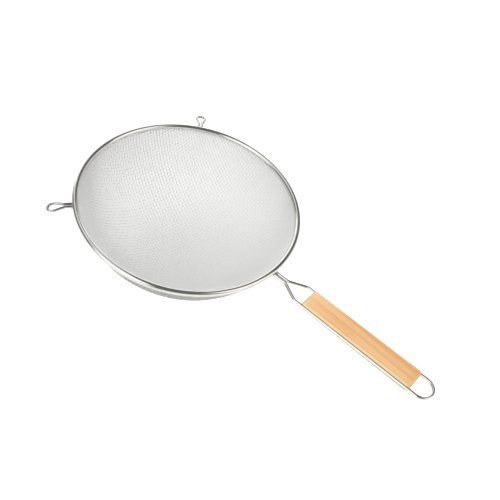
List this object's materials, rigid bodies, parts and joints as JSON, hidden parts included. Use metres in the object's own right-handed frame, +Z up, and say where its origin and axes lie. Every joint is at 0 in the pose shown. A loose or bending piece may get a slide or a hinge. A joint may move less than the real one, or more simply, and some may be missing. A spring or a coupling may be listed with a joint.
{
  "type": "tea strainer",
  "caption": "Large round tea strainer: fine steel mesh backed by coarse mesh in a rolled rim, with wire rest hooks and a wire handle looped round a flat light-wood grip.",
  "frame": {"origin": "centre of the base of the strainer's box, on the table it rests on", "axes": "+Z up from the table, +X along the handle away from the bowl, +Y to the left when looking along the handle; the bowl's rim is leaned 16.3 degrees about Y, because the strainer rests on the bottom of its bowl and on the end of its handle"},
  "size_m": [0.4496, 0.2598, 0.1344],
  "materials": {
    "coarse_mesh_wire": "woven bright wire about 0.9 mm thick",
    "fine_mesh_wire": "finely woven wire, dull from its weave",
    "rim_steel": "polished stainless steel",
    "bright_wire": "polished stainless steel wire",
    "weld": "dull spot weld",
    "light_wood": "plain oiled light wood, fine lengthwise grain"
  },
  "bodies": {
    "root": {"outer_mesh": "coarse_mesh_wire", "inner_mesh": "fine_mesh_wire", "rim_band": "rim_steel", "rim_core_wire": "bright_wire", "hook_left": "bright_wire", "hook_right": "bright_wire", "hook_weld_left": "weld", "hook_weld_right": "weld", "handle_rod": "bright_wire", "handle_weld": "weld", "wooden_grip": "light_wood"}
  },
  "joints": []
}
